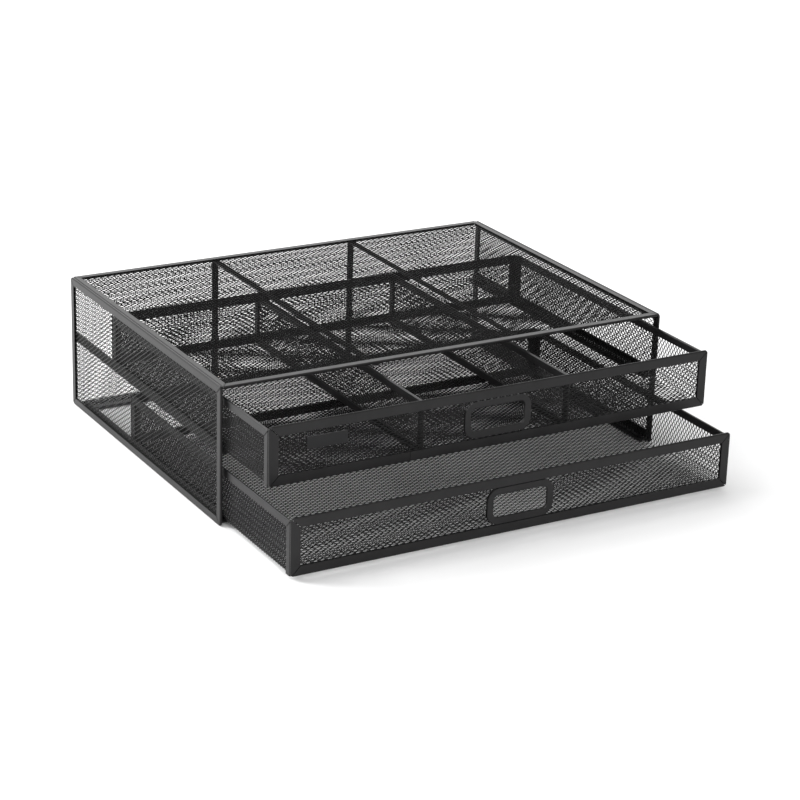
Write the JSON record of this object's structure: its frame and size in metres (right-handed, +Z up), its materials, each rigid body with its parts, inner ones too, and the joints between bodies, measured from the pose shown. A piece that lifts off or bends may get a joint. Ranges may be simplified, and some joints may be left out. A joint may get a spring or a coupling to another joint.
{
  "type": "desk organizer",
  "caption": "Low black expanded-steel desk organizer with sliding drawers that have finger-hole fronts, the upper one split by full-depth dividers.",
  "frame": {"origin": "bottom centre of the whole organizer with both drawers standing part open as stored", "axes": "+Z up, +Y from the drawer fronts to the back panel, +X to the user's right when facing the drawers"},
  "size_m": [0.42, 0.419, 0.1193],
  "materials": {
    "binding": "satin black powder coat",
    "mesh": "satin black powder coat on expanded steel",
    "label": "satin dark grey"
  },
  "bodies": {
    "case": {"case_side_binding_left": "binding", "case_side_binding_right": "binding", "case_side_mesh_left": "mesh", "case_side_mesh_right": "mesh", "case_top_binding": "binding", "case_top_mesh": "mesh", "case_back_mesh": "mesh", "rear_flange_binding": "binding", "rear_flange_mesh": "mesh", "upper_runner_left": "binding", "upper_runner_right": "binding", "lower_runner_left": "binding", "lower_runner_right": "binding", "case_stay_left": "binding", "case_stay_right": "binding"},
    "upper_drawer": {"upper_front_binding": "binding", "upper_front_mesh": "mesh", "upper_handle_ring": "binding", "upper_side_binding_left": "binding", "upper_side_binding_right": "binding", "upper_side_mesh_left": "mesh", "upper_side_mesh_right": "mesh", "upper_back_binding": "binding", "upper_back_mesh": "mesh", "upper_floor_mesh": "mesh", "upper_divider_binding_left": "binding", "upper_divider_binding_right": "binding", "upper_divider_mesh_left": "mesh", "upper_divider_mesh_right": "mesh", "label_plate": "label"},
    "lower_drawer": {"lower_front_binding": "binding", "lower_front_mesh": "mesh", "lower_handle_ring": "binding", "lower_side_binding_left": "binding", "lower_side_binding_right": "binding", "lower_side_mesh_left": "mesh", "lower_side_mesh_right": "mesh", "lower_back_binding": "binding", "lower_back_mesh": "mesh", "lower_floor_mesh": "mesh"}
  },
  "joints": [
    {"name": "upper_drawer_slide", "type": "slide", "parent": "case", "child": "upper_drawer", "axis": [0, -1, 0], "range_m": [-0.076, 0.144]},
    {"name": "lower_drawer_slide", "type": "slide", "parent": "case", "child": "lower_drawer", "axis": [0, -1, 0], "range_m": [-0.1148, 0.1052]}
  ]
}
